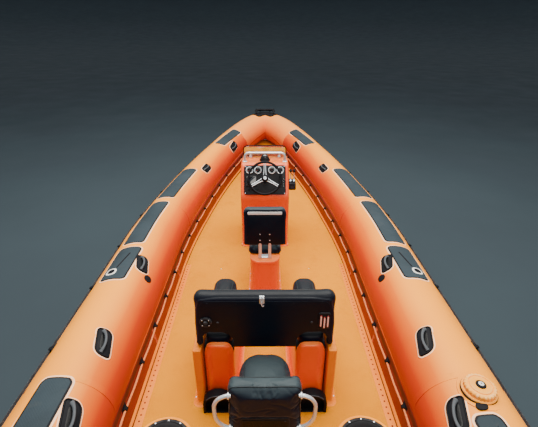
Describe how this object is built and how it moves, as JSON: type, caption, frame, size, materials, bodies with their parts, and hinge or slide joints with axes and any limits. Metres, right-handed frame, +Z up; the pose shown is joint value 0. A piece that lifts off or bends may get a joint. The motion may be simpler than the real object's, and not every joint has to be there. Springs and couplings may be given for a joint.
{
  "type": "inshore rescue boat",
  "caption": "Rigid inflatable rescue boat with deep-V hull, orange collar, straddle seats, console, roll frame and outboard motors.",
  "frame": {"origin": "amidships on the centreline, at the waterline", "axes": "+Y to the bow, +X to starboard, +Z up"},
  "size_m": [2.902, 8.316, 3.925],
  "materials": {
    "hull_orange": "satin gelcoat, gritted on the deck",
    "tube_orange": "coated fabric, matt",
    "pod_orange": "satin gelcoat",
    "orange_plastic": "moulded",
    "black_plastic": "moulded",
    "black_rubber": "matt",
    "black_rope": "braided",
    "red_rope": "braided",
    "seat_black": "grained upholstery",
    "stainless": "polished tube",
    "clear_screen": "clear",
    "black_paint": "powder coat",
    "bag_fabric": "coated cloth",
    "white_plastic": "moulded",
    "engine_paint": "gloss paint"
  },
  "bodies": {
    "hull": {"hull": "hull_orange", "tube_port": "tube_orange", "tube_starboard": "tube_orange", "tube_bow": "tube_orange", "trunking_port": "tube_orange", "trunking_fore_port": "tube_orange", "trunking_starboard": "tube_orange", "trunking_fore_starboard": "tube_orange", "rubbing_strake_port": "black_rubber", "rubbing_strake_starboard": "black_rubber", "lifeline_port": "black_rope", "lifeline_starboard": "black_rope", "grab_line_port": "red_rope", "grab_line_starboard": "red_rope", "valve_port": "orange_plastic", "valve_starboard": "orange_plastic", "access_plate_port": "black_plastic", "access_plate_starboard": "black_plastic", "bow_fairlead": "black_plastic", "anchor_locker": "hull_orange", "seat_pod_port": "pod_orange", "seat_pod_starboard": "pod_orange", "foot_cup_starboard": "black_rubber", "foot_cup_port": "black_rubber", "seat_pod_aft": "pod_orange", "seat_pod_helm": "pod_orange", "seat_cushion_port": "seat_black", "seat_cushion_starboard": "seat_black", "seat_cushion_aft": "seat_black", "seat_cushion_helm": "seat_black", "crew_backrest": "seat_black", "aft_backrest": "seat_black", "helm_backrest": "seat_black", "aft_handle_port": "stainless", "aft_handle_starboard": "stainless", "console": "pod_orange", "dash_panel": "black_plastic", "spray_screen": "clear_screen", "console_rail": "stainless", "throttle_control": "black_plastic", "roll_frame": "black_paint", "righting_bag": "bag_fabric", "light_mast": "white_plastic", "aerial_port": "white_plastic", "aerial_starboard": "white_plastic", "port_clamp_bracket": "engine_paint", "starboard_clamp_bracket": "engine_paint"},
    "steering_wheel": {"steering_wheel": "black_rubber"},
    "locker_lid": {"locker_lid": "hull_orange"},
    "port_swivel": {"port_swivel_bracket": "engine_paint"},
    "port_outboard": {"port_engine_leg": "engine_paint", "port_engine_cowl": "engine_paint", "port_powerhead": "engine_paint"},
    "port_propeller": {"port_propeller": "stainless"},
    "starboard_swivel": {"starboard_swivel_bracket": "engine_paint"},
    "starboard_outboard": {"starboard_engine_leg": "engine_paint", "starboard_engine_cowl": "engine_paint", "starboard_powerhead": "engine_paint"},
    "starboard_propeller": {"starboard_propeller": "stainless"}
  },
  "joints": [
    {"name": "port_tilt", "type": "hinge", "parent": "hull", "child": "port_swivel", "pos_m": [-0.38, -3.665, 0.33], "axis": [-1, 0, 0], "range_deg": [0, 65]},
    {"name": "port_steer", "type": "hinge", "parent": "port_swivel", "child": "port_outboard", "pos_m": [-0.38, -3.735, 0.33], "axis": [0, 0, 1], "range_deg": [-30, 30]},
    {"name": "port_propeller_turn", "type": "hinge", "parent": "port_outboard", "child": "port_propeller", "pos_m": [-0.38, -4.09, -0.55], "axis": [0, 1, 0], "continuous": true},
    {"name": "starboard_tilt", "type": "hinge", "parent": "hull", "child": "starboard_swivel", "pos_m": [0.38, -3.665, 0.33], "axis": [-1, 0, 0], "range_deg": [0, 65]},
    {"name": "starboard_steer", "type": "hinge", "parent": "starboard_swivel", "child": "starboard_outboard", "pos_m": [0.38, -3.735, 0.33], "axis": [0, 0, 1], "range_deg": [-30.5, 30.5]},
    {"name": "starboard_propeller_turn", "type": "hinge", "parent": "starboard_outboard", "child": "starboard_propeller", "pos_m": [0.38, -4.09, -0.55], "axis": [0, 1, 0], "continuous": true},
    {"name": "steering_wheel_turn", "type": "hinge", "parent": "hull", "child": "steering_wheel", "pos_m": [0, 0.425, 0.92], "axis": [0, 0.8599, -0.5105], "range_deg": [-631, 631]},
    {"name": "locker_lid_open", "type": "hinge", "parent": "hull", "child": "locker_lid", "pos_m": [0, 2.982, 0.454], "axis": [-1, 0, 0], "range_deg": [0, 100]}
  ],
  "couplings": [
    {"joint": "starboard_steer", "follows": "port_steer", "ratio": 1},
    {"joint": "steering_wheel_turn", "follows": "port_steer", "ratio": 21}
  ]
}
